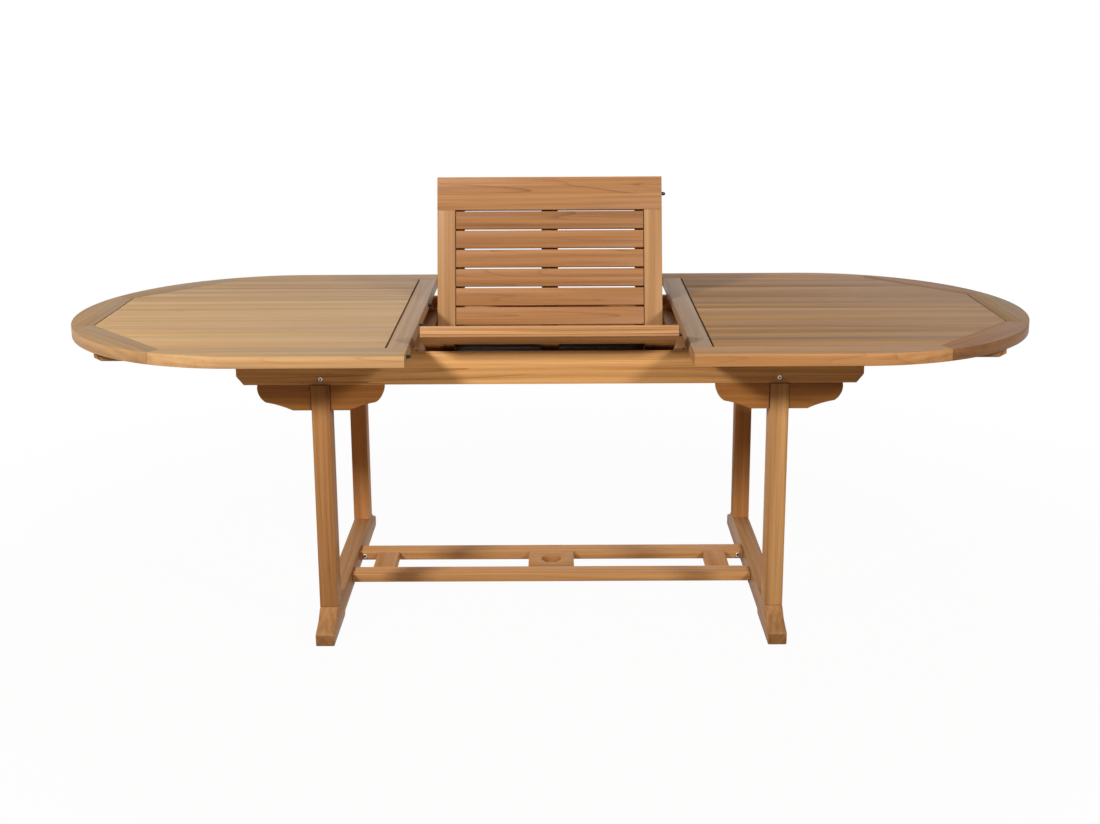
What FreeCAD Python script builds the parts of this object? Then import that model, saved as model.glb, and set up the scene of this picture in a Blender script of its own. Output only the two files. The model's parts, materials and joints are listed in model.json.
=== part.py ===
"""Extending oval teak garden table, shown pulled apart with its folding butterfly leaf half raised.

Millimetres, +Z up, X along the table, Y across it (the viewer stands at -Y).
The origin is on the floor, under the middle of the opening.
"""
import FreeCAD, Part
import math
import os
import re

from FreeCAD import Placement, Rotation, Vector

os.makedirs("parts", exist_ok=True)
doc = FreeCAD.newDocument("garden_table")

SIZES = {
    # overall
    "table_height": 750, "table_width": 1000, "half_length": 893, "opening_gap": 656, "top_thick": 29,
    # oval top halves
    "rim_side": 76, "rim_end": 85.5, "cross_rail_wide": 49, "board_gap": 1.5, "mitre_spread": 20,
    "rail_groove": 4, "end_groove": 1.5,
    # runners and cleats below the halves
    "runner_wide": 28, "runner_high": 30, "runner_outset": 125, "runner_chamfer_long": 17,
    "runner_chamfer_high": 9,
    "tongue_deep": 7, "tongue_high": 11, "tongue_drop": 16, "slide_clear": 0.4,
    "cleat_wide": 50, "cleat_thick": 20, "cleat_inset": 140,
    # locating pins between the halves and the leaf
    "pin_radius": 4.8, "pin_reach": 11, "pin_tip": 4.5, "pin_point": 2.2, "pin_seat": 14, "pin_clear": 0.5,
    "pin_inset": 45, "pin_inner": 125, "pin_drop": 13.5,
    # aprons
    "apron_overhang": 200, "apron_inset": 171, "apron_thick": 26, "apron_high": 84,
    "apron_chamfer_long": 17, "apron_chamfer_high": 21.5,
    "relief_inset": 10, "relief_face": 2.8, "relief_inner": 8.4,
    # trestles
    "trestle_reach": 550, "leg_wide": 45, "leg_deep": 55, "leg_inset": 166,
    "foot_thick": 46, "foot_inset": 87, "foot_high": 69, "foot_relief": 10, "pad_long": 178,
    "toe_brow": 47, "toe_step": 38, "toe_nose": 33, "toe_brow_in": 50, "toe_step_in": 23, "toe_nose_in": 5,
    "beam_wide": 47, "beam_high": 47, "corbel_half": 151, "corbel_high": 64, "corbel_flat": 68,
    "bead_in": 19, "bead_drop": 44, "swell_in": 4.5, "swell_drop": 29, "hollow_in": 50, "hollow_drop": 51.3,
    # leaf well
    "well_rail_room": 12, "well_rail_thick": 40, "well_rail_high": 46, "ledger_thick": 25,
    # lower stretchers
    "stretcher_mid": 77, "stretcher_wide": 50, "stretcher_top": 59, "stretcher_thick": 24,
    "spacer_inset": 51, "spacer_wide": 60, "parasol_wide": 122, "parasol_radius": 26,
    # folding leaf
    "leaf_side_gap": 28, "leaf_thick": 26.5, "leaf_rail": 88, "leaf_stile": 48, "slat_gap": 4.2,
    "slat_end_gap": 1.5, "slat_thick": 18, "batten_wide": 44, "lip_wide": 24, "fold_gap": 2,
    "spine_back": 49.7, "spine_drop": 159.3, "rest_clear": 0.3, "seat_clear": 0.593,
    # fold hinges
    "hinge_long": 66, "hinge_pin": 2, "knuckle_radius": 3.5, "knuckle_room": 2, "hinge_clear": 0.2,
    "plate_thick": 1.5, "plate_high": 20,
    # bolts and barrel nuts
    "bolt_radius": 4, "bolt_head": 6.5, "bolt_head_thick": 8, "bolt_recess": 12, "bolt_clear": 0.2,
    "nut_radius": 6, "nut_proud": 2.5, "nut_inset": 15,
}
COUNTS = {"boards": 6, "slats": 8}
ANGLES = {"rear_lean": 15}
# sizes that follow from others: a sum of those, each times its factor
DERIVED = {
    "end_run": {"table_width": 0.505},
    "corner_setback": {"table_width": 0.318},
    "end_corner": {"table_width": 0.168},
    "pin_outer": {"table_width": 0.5, "pin_inset": -1},
    "apron_low": {"table_height": 1, "top_thick": -1, "apron_high": -1},
    "apron_face": {"table_width": 0.5, "apron_inset": -1},
    "apron_long": {"trestle_reach": 2, "apron_overhang": 2},
    "relief_half": {"opening_gap": 0.5, "relief_inset": -1},
    "leg_face": {"table_width": 0.5, "leg_inset": -1},
    "foot_half": {"table_width": 0.5, "foot_inset": -1},
    "well_rail_near": {"opening_gap": 0.5, "leaf_side_gap": -1, "well_rail_room": 1},
    "spacer_near": {"trestle_reach": 1, "foot_thick": -0.5, "spacer_inset": -1, "spacer_wide": -1},
    "leaf_wide": {"opening_gap": 1, "leaf_side_gap": -2},
    "hinge_spread": {"opening_gap": 1 / 3, "leaf_side_gap": -2 / 3},
}
# how far a cutting tool starts outside the face that it enters
OVERSHOOT = 1.0

sheet = doc.addObject("Spreadsheet::Sheet", "Sizes")
for row, (alias, number) in enumerate({**SIZES, **COUNTS, **ANGLES}.items(), start=1):
    sheet.set("A%d" % row, alias)
    sheet.set("B%d" % row, str(number))
    sheet.setAlias("B%d" % row, alias)
doc.recompute()


class Named:
    """Reads a size of the sheet as a plain number, or works out one that follows from others."""

    def __getattr__(self, alias):
        if alias in DERIVED:
            return sum(factor * float(sheet.get(part)) for part, factor in DERIVED[alias].items())
        return float(sheet.get(alias))


size = Named()
nodes = {}


def bound(text):
    """An expression on the sheet: s.word stands for a cell or for a size that follows from cells."""
    def cell(match):
        word = match.group(1)
        terms = DERIVED.get(word, {word: 1})
        return "(" + " + ".join("%.9g * Sizes.%s" % (factor, part) for part, factor in terms.items()) + ")"

    return re.sub(r"\bs\.(\w+)", cell, str(text))


def node(label, item):
    """Give a finished piece its label and list it for writing."""
    item.Label = label
    nodes[label] = item
    return item


def bind(item, **expressions):
    """Bind properties of an object to expressions on the sheet."""
    for name, text in expressions.items():
        item.setExpression(name, bound(text))
    return item


def box(name, corner, spans):
    """A box with its lowest corner and its spans given as expressions."""
    item = doc.addObject("Part::Box", name)
    bind(item, Length=spans[0], Width=spans[1], Height=spans[2])
    for axis, text in zip("xyz", corner):
        item.setExpression("Placement.Base." + axis, bound(text))
    return item


def rod(name, centre, radius, reach, direction):
    """A cylinder from a centre point along a direction, sizes given as expressions."""
    item = doc.addObject("Part::Cylinder", name)
    bind(item, Radius=radius, Height=reach)
    item.Placement = Placement(Vector(), Rotation(Vector(0, 0, 1), Vector(*direction)))
    for axis, text in zip("xyz", centre):
        item.setExpression("Placement.Base." + axis, bound(text))
    return item


def cut(name, base, *tools):
    """The base with every tool taken away, one after another."""
    item = base
    for index, tool in enumerate(tools):
        step = doc.addObject("Part::Cut", "%s_cut%d" % (name, index))
        step.Base, step.Tool = item, tool
        item = step
    return item


def fuse(name, *pieces):
    """One solid out of several that meet."""
    item = doc.addObject("Part::MultiFuse", name)
    item.Shapes = list(pieces)
    return item


def group(label, *pieces):
    """Separate solids that share one node."""
    item = doc.addObject("Part::Compound", label)
    item.Links = list(pieces)
    return node(label, item)


def shaped(name, shape, placement=None):
    """A piece whose outline is worked out from the sheet's sizes in this script."""
    item = doc.addObject("Part::Feature", name)
    item.Shape = shape
    if placement is not None:
        item.Placement = placement
    return item


def flat_face(edges):
    """A face from edges in order."""
    return Part.Face(Part.Wire(Part.__sortEdges__(edges)))


def polygon(points):
    """Straight edges through the points, closed."""
    ring = list(points) + [points[0]]
    return [Part.LineSegment(a, b).toShape() for a, b in zip(ring, ring[1:])]


SIDES = {"left": -1, "right": 1}
ENDS = {"front": -1, "rear": 1}
UNDER_TOP = "s.table_height - s.top_thick"


def span(sign, near, wide):
    """The lowest corner expression of a band that starts at near and runs outwards on one side."""
    return near if sign > 0 else "-(%s) - (%s)" % (near, wide)


# Oval top halves

def oval_point(angle):
    """A point of the outer edge of the right half; angle 0 is the tip and 90 degrees the side's end."""
    start = size.opening_gap / 2 + size.half_length - size.end_run
    return Vector(start + size.end_run * math.cos(angle), size.table_width / 2 * math.sin(angle), 0)


def oval_edge(first, last):
    """The elliptic outer edge between two angles; the oval is longer than it is wide."""
    start = size.opening_gap / 2 + size.half_length - size.end_run
    ellipse = Part.Ellipse(Vector(start, 0, 0), size.end_run, size.table_width / 2)
    return Part.ArcOfEllipse(ellipse, first, last).toShape()


def field_corners():
    """The field's outline on the right half: inner, side corner and end corner, on the +Y side."""
    tip = size.opening_gap / 2 + size.half_length
    side = size.table_width / 2 - size.rim_side
    inner = size.opening_gap / 2 + size.cross_rail_wide
    return (Vector(inner, side, 0), Vector(tip - size.corner_setback, side, 0),
            Vector(tip - size.rim_end, size.end_corner, 0))


def rim_faces():
    """The right half's rim faces on the +Y side and its end piece."""
    inner, side, tip = field_corners()
    half = size.table_width / 2
    edge = size.opening_gap / 2
    start = edge + size.half_length - size.end_run
    side_angle = math.acos((side.x + size.mitre_spread - start) / size.end_run)
    tip_angle = math.asin((tip.y + size.mitre_spread) / half)
    side_out, tip_out = oval_point(side_angle), oval_point(tip_angle)
    near_in, near_out = Vector(edge, side.y, 0), Vector(edge, half, 0)
    bend = Vector(start, half, 0)

    def line(a, b):
        return Part.LineSegment(a, b).toShape()

    side_face = flat_face([line(near_in, side), line(side, side_out), oval_edge(side_angle, math.pi / 2),
                           line(bend, near_out), line(near_out, near_in)])
    corner_face = flat_face([line(side, tip), line(tip, tip_out), oval_edge(tip_angle, side_angle),
                             line(side_out, side)])
    low_tip, low_out = Vector(tip.x, -tip.y, 0), Vector(tip_out.x, -tip_out.y, 0)
    end_face = flat_face([line(tip, tip_out), oval_edge(-tip_angle, tip_angle), line(low_out, low_tip),
                          line(low_tip, tip)])
    return side_face, corner_face, end_face


def to_side(shape, side, end):
    """Carry a shape drawn on the right rear quarter to another quarter of the table."""
    if side < 0:
        shape = shape.mirror(Vector(), Vector(1, 0, 0))
    if end < 0:
        shape = shape.mirror(Vector(), Vector(0, 1, 0))
    return shape


def raised(face):
    """A top piece from its face: as thick as the top, with its upper face at table height."""
    low = size.table_height - size.top_thick
    return face.translated(Vector(0, 0, low)).extrude(Vector(0, 0, size.top_thick))


def pin_hole(side, place, height):
    """A blind hole in a half's inner edge for a locating pin."""
    radius = size.pin_radius + size.pin_clear
    start = Vector(side * (size.opening_gap / 2 - OVERSHOOT), place, height)
    return Part.makeCylinder(radius, size.pin_seat + OVERSHOOT, start, Vector(side, 0, 0))


def bullet(start):
    """A locating pin pointing along +X, with a tapered tip."""
    straight = size.pin_reach - size.pin_tip
    along = Vector(1, 0, 0)
    shank = Part.makeCylinder(size.pin_radius, straight, start, along)
    tip = Part.makeCone(size.pin_radius, size.pin_point, size.pin_tip, start + along * straight, along)
    return shank.fuse(tip)


def top_half(side_name):
    """The rim pieces, field boards, cross rail, runners and cleats of one sliding half."""
    side = SIDES[side_name]
    side_face, corner_face, end_face = rim_faces()
    pin_height = size.table_height - size.pin_drop
    for end_name, end in ENDS.items():
        rim = to_side(raised(side_face), side, end)
        if side > 0:
            rim = rim.cut(pin_hole(side, end * size.pin_outer, pin_height))
        node("%s_%s_side_rim" % (side_name, end_name), shaped("rim", rim))
        node("%s_%s_corner_rim" % (side_name, end_name),
             shaped("rim", to_side(raised(corner_face), side, end)))
    node("%s_end_rim" % side_name, shaped("rim", to_side(raised(end_face), side, 1)))

    inner, corner, tip = field_corners()
    ring = [inner, corner, tip]
    ring += [Vector(point.x, -point.y, 0) for point in reversed(ring)]
    field = raised(flat_face(polygon(ring)))
    pitch = 2 * inner.y / size.boards
    board_long = tip.x - size.end_groove - inner.x - size.rail_groove
    strips = []
    for index in range(int(size.boards)):
        low = -inner.y + index * pitch
        first = 0 if index == 0 else size.board_gap / 2
        last = 0 if index == size.boards - 1 else size.board_gap / 2
        strip = Part.makeBox(board_long, pitch - first - last, size.top_thick,
                             Vector(inner.x + size.rail_groove, low + first,
                                    size.table_height - size.top_thick))
        strips.append(to_side(field.common(strip).Solids[0], side, 1))
    node("%s_field_boards" % side_name, shaped("field", Part.makeCompound(strips)))

    rail = Part.makeBox(size.cross_rail_wide, 2 * inner.y, size.top_thick,
                        Vector(size.opening_gap / 2, -inner.y, size.table_height - size.top_thick))
    node("%s_cross_rail" % side_name, shaped("rail", to_side(rail, side, 1)))

    for end_name, end in ENDS.items():
        node("%s_%s_runner" % (side_name, end_name), runner(side, end))

    cleats = []
    reach = "s.apron_face - s.apron_thick - s.slide_clear - s.runner_wide"
    last = "s.opening_gap / 2 + s.half_length - s.corner_setback - s.cleat_inset"
    for near in ("s.opening_gap / 2 + s.cleat_inset", last):
        cleats.append(box("cleat", (span(side, near, "s.cleat_wide"), "-(%s)" % reach,
                                    UNDER_TOP + " - s.cleat_thick"),
                          ("s.cleat_wide", "2 * (%s)" % reach, "s.cleat_thick")))
    group("%s_cleats" % side_name, *cleats)

    if side < 0:
        level = size.table_height - size.pin_drop
        pins = [shaped("pin", bullet(Vector(-size.opening_gap / 2, end * place, level)))
                for end in ENDS.values() for place in (size.pin_outer, size.pin_inner)]
        group("left_pins", *pins)


def runner(side, end):
    """A runner under a half: it slides along the inner face of an apron and a tongue keeps it down."""
    near = size.opening_gap / 2
    far = near + size.half_length - size.runner_outset
    top = size.table_height - size.top_thick
    low = top - size.runner_high
    nip = size.runner_chamfer_long
    profile = [Vector(near, 0, low), Vector(far - nip, 0, low),
               Vector(far, 0, low + size.runner_chamfer_high), Vector(far, 0, top), Vector(near, 0, top)]
    face = Part.Face(Part.Wire(polygon(profile)))
    inside = size.apron_face - size.apron_thick - size.slide_clear
    bar = face.translated(Vector(0, inside - size.runner_wide, 0)).extrude(Vector(0, size.runner_wide, 0))
    tongue = Part.makeBox(far - nip - near, size.tongue_deep, size.tongue_high,
                          Vector(near, inside, top - size.tongue_drop - size.tongue_high))
    return shaped("runner", to_side(bar.fuse(tongue).removeSplitter(), side, end))


for name in SIDES:
    top_half(name)


# Aprons with their runner grooves and chamfered ends; the front one is planed to a slope for the leaf

def apron(end_name):
    """One long apron of the base."""
    end = ENDS[end_name]
    near = "-s.apron_face" if end < 0 else "s.apron_face - s.apron_thick"
    body = box("apron", ("-s.apron_long / 2", near, "s.apron_low"),
               ("s.apron_long", "s.apron_thick", "s.apron_high"))
    deep = size.tongue_deep + size.slide_clear
    high = size.tongue_high + 2 * size.slide_clear
    top = size.table_height - size.top_thick
    inside = size.apron_face - size.apron_thick
    groove_low = top - size.tongue_drop - high + size.slide_clear
    groove = Part.makeBox(size.apron_long, deep, high, Vector(-size.apron_long / 2, inside, groove_low))
    tools = [shaped("groove", to_side(groove, 1, end))]
    for side in SIDES.values():
        tip = side * size.apron_long / 2
        wedge = Part.Face(Part.Wire(polygon([
            Vector(tip, 0, size.apron_low), Vector(tip - side * size.apron_chamfer_long, 0, size.apron_low),
            Vector(tip, 0, size.apron_low + size.apron_chamfer_high)])))
        wedge = wedge.translated(Vector(0, inside, 0)).extrude(Vector(0, size.apron_thick, 0))
        tools.append(shaped("nip", to_side(wedge, 1, end)))
        for radius, reach in (("s.bolt_head", "s.bolt_head_thick"), ("s.bolt_radius", "s.apron_thick")):
            tools.append(rod("bore", ("%d * s.trestle_reach" % side, "%d * s.apron_face" % end,
                                      "s.apron_low + s.bolt_recess"), radius, reach, (0, -end, 0)))
    if end < 0:
        tools.append(shaped("seat", slope(-size.apron_long / 2, size.apron_long)))
    node("%s_apron" % end_name, cut("%s_apron" % end_name, body, *tools))


def slope(start, reach):
    """The wedge between the front apron's sloped top and the level of the halves, along X."""
    top = size.table_height - size.top_thick
    inside = size.apron_face - size.apron_thick
    wedge = Part.Face(Part.Wire(polygon([
        Vector(start, -inside, top), Vector(start, -inside, top - size.relief_inner),
        Vector(start, -size.apron_face, top - size.relief_face), Vector(start, -size.apron_face, top)])))
    return wedge.extrude(Vector(reach, 0, 0))


for name in ENDS:
    apron(name)
glide_long = size.apron_long / 2 - size.relief_half
group("front_glides", *[shaped("glide", slope(start, glide_long))
                        for start in (-size.apron_long / 2, size.relief_half)])


# Trestles: feet, legs, corbels and top beams

def foot(side_name):
    """A foot across the table, with sloped toes and a relieved underside."""
    side = SIDES[side_name]
    far = size.foot_half
    half = [Vector(0, 0, size.foot_high), Vector(0, size.leg_face, size.foot_high),
            Vector(0, far - size.toe_brow_in, size.toe_brow), Vector(0, far - size.toe_step_in, size.toe_step),
            Vector(0, far - size.toe_nose_in, size.toe_nose), Vector(0, far, size.toe_nose - size.toe_nose_in),
            Vector(0, far, 0), Vector(0, far - size.pad_long, 0),
            Vector(0, far - size.pad_long - size.foot_relief, size.foot_relief)]
    ring = half[1:] + [Vector(0, -point.y, point.z) for point in reversed(half[1:])]
    face = Part.Face(Part.Wire(polygon(ring)))
    near = side * size.trestle_reach - size.foot_thick / 2
    solid = face.translated(Vector(near, 0, 0)).extrude(Vector(size.foot_thick, 0, 0))
    node("%s_foot" % side_name, shaped("foot", solid))


def corbel_face():
    """The corbel's outline: straight top, ends with a swell above and a hollow below, flat bottom."""
    top = size.apron_low
    far, flat = size.corbel_half, size.corbel_flat
    low = top - size.corbel_high
    bead = Vector(far - size.bead_in, 0, top - size.bead_drop)
    swell = Vector(far - size.swell_in, 0, top - size.swell_drop)
    hollow = Vector(far - size.hollow_in, 0, top - size.hollow_drop)
    edges = [Part.Arc(Vector(far, 0, top), swell, bead).toShape(),
             Part.Arc(bead, hollow, Vector(flat, 0, low)).toShape()]
    edges += [edge.mirror(Vector(), Vector(1, 0, 0)) for edge in edges]
    edges.append(Part.LineSegment(Vector(-far, 0, top), Vector(far, 0, top)).toShape())
    edges.append(Part.LineSegment(Vector(-flat, 0, low), Vector(flat, 0, low)).toShape())
    return flat_face(edges)


def trestle(side_name):
    """Legs, corbels and the beam that ties a trestle below the aprons."""
    side = SIDES[side_name]
    middle = side * size.trestle_reach
    for end_name, end in ENDS.items():
        leg = box("leg", ("%d * s.trestle_reach - s.leg_wide / 2" % side,
                          "-s.leg_face" if end < 0 else "s.leg_face - s.leg_deep", "s.foot_high"),
                  ("s.leg_wide", "s.leg_deep", "s.apron_low - s.foot_high"))
        near = size.apron_face - size.apron_thick
        corbel = corbel_face().translated(Vector(middle, near, 0)).extrude(Vector(0, size.apron_thick, 0))
        corbel = shaped("corbel", to_side(corbel, 1, end))
        node("%s_%s_corbel" % (end_name, side_name), corbel)
        slot = box("slot", ("%d * s.trestle_reach - s.leg_wide / 2" % side,
                            "-s.apron_face" if end < 0 else "s.apron_face - s.apron_thick",
                            "s.apron_low - s.corbel_high"),
                   ("s.leg_wide", "s.apron_thick", "s.corbel_high"))
        node("%s_%s_leg" % (end_name, side_name), cut("leg", leg, slot))
    node("%s_top_beam" % side_name,
         box("beam", ("%d * s.trestle_reach - s.beam_wide / 2" % side, "s.apron_thick - s.apron_face",
                      "s.apron_low"),
             ("s.beam_wide", "2 * (s.apron_face - s.apron_thick)", "s.beam_high")))


for name in SIDES:
    foot(name)
    trestle(name)


# Leaf well: cross rails and the ledgers that the leaf lies on

def front_tilt():
    """The front wing's slope, at which its underside just clears the inner edge of the front apron."""
    run = size.spine_back + size.apron_face - size.apron_thick
    rise = size.spine_drop - size.top_thick + size.seat_clear
    return math.atan2(rise, run) + math.asin(size.leaf_thick / math.hypot(run, rise))


def wing_frame(name):
    """The placement of a wing: drawn flat with its fold on the Y axis' zero, then turned and lowered."""
    turn = -math.degrees(front_tilt()) if name == "front" else 90 - size.rear_lean
    spine = Vector(0, size.spine_back, size.table_height - size.spine_drop)
    return Placement(spine, Rotation(Vector(1, 0, 0), turn))


def ledger_reach():
    """How far a ledger's inner edge stands from the middle, so that the raised front wing rests on it."""
    tilt = front_tilt()
    level = size.apron_low + size.ledger_thick + size.rest_clear
    spine = size.table_height - size.spine_drop
    return (level - spine + size.leaf_thick / math.cos(tilt)) / math.tan(tilt) - size.spine_back


for name, sign in SIDES.items():
    node("%s_well_rail" % name,
         box("well_rail", (span(sign, "s.well_rail_near", "s.well_rail_thick"), "s.apron_thick - s.apron_face",
                           "s.apron_low"),
             ("s.well_rail_thick", "2 * (s.apron_face - s.apron_thick)", "s.well_rail_high")))
for name, sign in ENDS.items():
    inside = size.apron_face - size.apron_thick
    ledger = Part.makeBox(2 * size.well_rail_near, inside - ledger_reach(), size.ledger_thick,
                          Vector(-size.well_rail_near, ledger_reach(), size.apron_low))
    node("%s_ledger" % name, shaped("ledger", to_side(ledger, 1, sign)))


# Lower stretchers with their spacers and the parasol block

STRETCHER_LONG = "2 * s.trestle_reach - s.foot_thick"
for name, sign in ENDS.items():
    node("%s_stretcher" % name,
         box("stretcher", ("-(%s) / 2" % STRETCHER_LONG,
                           "%d * s.stretcher_mid - s.stretcher_wide / 2" % sign,
                           "s.stretcher_top - s.stretcher_thick"),
             (STRETCHER_LONG, "s.stretcher_wide", "s.stretcher_thick")))
BETWEEN = "2 * s.stretcher_mid - s.stretcher_wide"
for name, sign in SIDES.items():
    node("%s_spacer" % name,
         box("spacer", (span(sign, "s.spacer_near", "s.spacer_wide"), "-(%s) / 2" % BETWEEN,
                        "s.stretcher_top - s.stretcher_thick"),
             ("s.spacer_wide", BETWEEN, "s.stretcher_thick")))
block = box("block", ("-s.parasol_wide / 2", "-(%s) / 2" % BETWEEN, "s.stretcher_top - s.stretcher_thick"),
            ("s.parasol_wide", BETWEEN, "s.stretcher_thick"))
bore = rod("bore", ("0", "0", "s.stretcher_top - s.stretcher_thick"), "s.parasol_radius",
           "s.stretcher_thick", (0, 0, 1))
node("parasol_block", cut("parasol_block", block, bore))

heads = []
for sign in SIDES.values():
    for end in ENDS.values():
        place = ("%d * s.trestle_reach" % sign, "%d * (s.apron_face - s.bolt_head_thick)" % end,
                 "s.apron_low + s.bolt_recess")
        head = rod("head", place, "s.bolt_head - s.bolt_clear", "s.bolt_head_thick / 2", (0, end, 0))
        shank = rod("shank", place, "s.bolt_radius - s.bolt_clear", "s.apron_thick - s.bolt_head_thick",
                    (0, -end, 0))
        heads.append(fuse("apron_bolt", head, shank))
group("apron_bolts", *heads)
nuts = []
for sign in SIDES.values():
    for end in ENDS.values():
        place = ("%d * (s.trestle_reach - s.foot_thick / 2 - s.nut_inset)" % sign,
                 "%d * (s.stretcher_mid - s.stretcher_wide / 2)" % end,
                 "s.stretcher_top - s.stretcher_thick / 2")
        nuts.append(rod("nut", place, "s.nut_radius", "s.nut_proud", (0, -end, 0)))
group("stretcher_bolts", *nuts)


# Folding leaf: two slatted wings on a spine of hinge pins

def wing_piece(wing, low, spans):
    """A box of a wing: low corner and spans, with Y outwards from the fold and Z up to the top face."""
    outwards = -1 if wing == "front" else 1
    y_low = low[1] if outwards > 0 else -low[1] - spans[1]
    return Part.makeBox(*spans, Vector(low[0], y_low, low[2]))


def hinge_places():
    """The middle of each fold hinge along X."""
    return [-size.hinge_spread, 0.0, size.hinge_spread]


def wing(name):
    """One wing of the leaf: outer rail, stiles, slats, battens, pins and its leaves of the hinges."""
    frame = wing_frame(name)
    outwards = -1 if name == "front" else 1
    half, thick = size.leaf_wide / 2, size.leaf_thick
    far = size.table_width / 2
    inner_rail = far - size.leaf_rail
    notches = []
    for middle in hinge_places():
        notches.append(wing_piece(name, (middle - size.hinge_long / 2 - OVERSHOOT, 0,
                                         -size.knuckle_radius - size.knuckle_room),
                                  (size.hinge_long + 2 * OVERSHOOT, size.knuckle_radius + size.knuckle_room,
                                   2 * size.knuckle_radius)))

    def place(label, shape):
        node("%s_wing_%s" % (name, label), shaped(label, shape, frame))

    def drill(shape, reach):
        """A blind hole for one of the left half's pins, in the wing's left edge."""
        start = Vector(-half - OVERSHOOT, outwards * reach, -size.pin_drop)
        return shape.cut(Part.makeCylinder(size.pin_radius + size.pin_clear, size.pin_seat + OVERSHOOT, start,
                                           Vector(1, 0, 0)))

    rail = wing_piece(name, (-half, inner_rail, -thick), (size.leaf_wide, size.leaf_rail, thick))
    place("rail", drill(rail, size.pin_outer))
    stile_long = inner_rail - size.fold_gap
    left = wing_piece(name, (-half, size.fold_gap, -thick), (size.leaf_stile, stile_long, thick))
    right = wing_piece(name, (half - size.leaf_stile, size.fold_gap, -thick),
                       (size.leaf_stile, stile_long, thick))
    place("stiles", Part.makeCompound([drill(left, size.pin_inner), right]))

    inner_half = half - size.leaf_stile
    count = int(size.slats)
    slat_wide = (stile_long - count * size.slat_gap) / count
    slats = []
    for index in range(count):
        low = size.fold_gap + index * (slat_wide + size.slat_gap)
        slat = wing_piece(name, (size.slat_end_gap - inner_half, low, -size.slat_thick),
                          (2 * (inner_half - size.slat_end_gap), slat_wide, size.slat_thick))
        if index == 0:
            for notch in notches:
                slat = slat.cut(notch)
        slats.append(slat)
    place("slats", Part.makeCompound(slats))

    deep = thick - size.slat_thick
    spans = [(-inner_half, size.lip_wide), (-size.batten_wide / 2, size.batten_wide),
             (inner_half - size.lip_wide, size.lip_wide)]
    place("battens", Part.makeCompound([
        wing_piece(name, (low, size.fold_gap + size.plate_thick, -thick),
                   (wide, stile_long - size.plate_thick, deep)) for low, wide in spans]))

    place("pins", bullet(Vector(half, outwards * size.pin_outer, -size.pin_drop)))
    place("hinge_leaves", Part.makeCompound([hinge_leaf(name, middle) for middle in hinge_places()]))


def hinge_leaf(name, middle):
    """A hinge plate on the wing's inner edge with its knuckles round the pin."""
    third = size.hinge_long / 3
    clear = size.hinge_clear
    if name == "front":
        zones = [(middle - size.hinge_long / 2, third - clear), (middle + third / 2 + clear, third - clear)]
    else:
        zones = [(middle - third / 2, third)]
    outer = size.knuckle_radius
    plate_low = -size.plate_high - outer
    back = size.fold_gap - size.plate_thick
    leaf = wing_piece(name, (middle - size.hinge_long / 2, back, plate_low),
                      (size.hinge_long, size.plate_thick, size.plate_high - 2 * clear))
    for low, wide in zones:
        web = wing_piece(name, (low, back, -outer - 3 * clear), (wide, size.plate_thick, outer + 3 * clear))
        barrel = Part.makeCylinder(outer, wide, Vector(low, 0, 0), Vector(1, 0, 0))
        leaf = leaf.fuse(web).fuse(barrel)
    pin_room = Part.makeCylinder(size.hinge_pin + clear, size.hinge_long + 2 * OVERSHOOT,
                                 Vector(middle - size.hinge_long / 2 - OVERSHOOT, 0, 0), Vector(1, 0, 0))
    return leaf.cut(pin_room).removeSplitter()


for name in ENDS:
    wing(name)
spine = Vector(0, size.spine_back, size.table_height - size.spine_drop)
pins = [Part.makeCylinder(size.hinge_pin, size.hinge_long, Vector(middle - size.hinge_long / 2, 0, 0),
                          Vector(1, 0, 0)) for middle in hinge_places()]
node("hinge_pins", shaped("hinge_pins", Part.makeCompound(pins), Placement(spine, Rotation())))


# Check every object, then write one file per piece

doc.recompute()
failed = [item.Name for item in doc.Objects if {"Invalid", "Error"} & set(item.State)]
for label, item in nodes.items():
    if item.Shape.isNull() or not item.Shape.isValid() or not item.Shape.Solids:
        failed.append(label)
if failed:
    raise RuntimeError("failed pieces: " + ", ".join(failed))
for label, item in nodes.items():
    item.Shape.exportStep("parts/%s.step" % label)
print("%d pieces written" % len(nodes))
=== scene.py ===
"""Dresses the extending oval garden table: planed teak, metal fittings, white studio and camera."""
import json
import logging
import math
from dataclasses import dataclass, field
from enum import Enum
from typing import Any, Dict, Optional, Sequence, Tuple, Union

import bmesh
import bpy
import numpy as np
from mathutils import Matrix
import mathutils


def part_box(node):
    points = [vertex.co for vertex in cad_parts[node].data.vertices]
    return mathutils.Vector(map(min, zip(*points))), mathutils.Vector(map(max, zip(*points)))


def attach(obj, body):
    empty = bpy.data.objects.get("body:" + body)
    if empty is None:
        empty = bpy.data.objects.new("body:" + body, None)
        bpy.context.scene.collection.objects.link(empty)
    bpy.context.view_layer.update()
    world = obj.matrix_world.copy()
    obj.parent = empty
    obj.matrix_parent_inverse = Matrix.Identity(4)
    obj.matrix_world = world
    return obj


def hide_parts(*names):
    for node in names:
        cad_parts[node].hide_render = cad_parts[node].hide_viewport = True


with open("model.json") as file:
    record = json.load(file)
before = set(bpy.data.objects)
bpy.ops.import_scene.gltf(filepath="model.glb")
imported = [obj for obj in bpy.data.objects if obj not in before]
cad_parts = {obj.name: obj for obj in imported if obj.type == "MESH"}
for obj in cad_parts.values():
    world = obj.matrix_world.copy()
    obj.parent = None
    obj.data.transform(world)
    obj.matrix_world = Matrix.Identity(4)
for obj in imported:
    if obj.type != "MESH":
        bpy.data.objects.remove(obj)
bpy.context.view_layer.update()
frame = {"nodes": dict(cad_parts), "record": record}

LOG = logging.getLogger("garden_table")
Colour = Tuple[float, float, float]
Vector = Tuple[float, float, float]
Range = Tuple[float, float]
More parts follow.
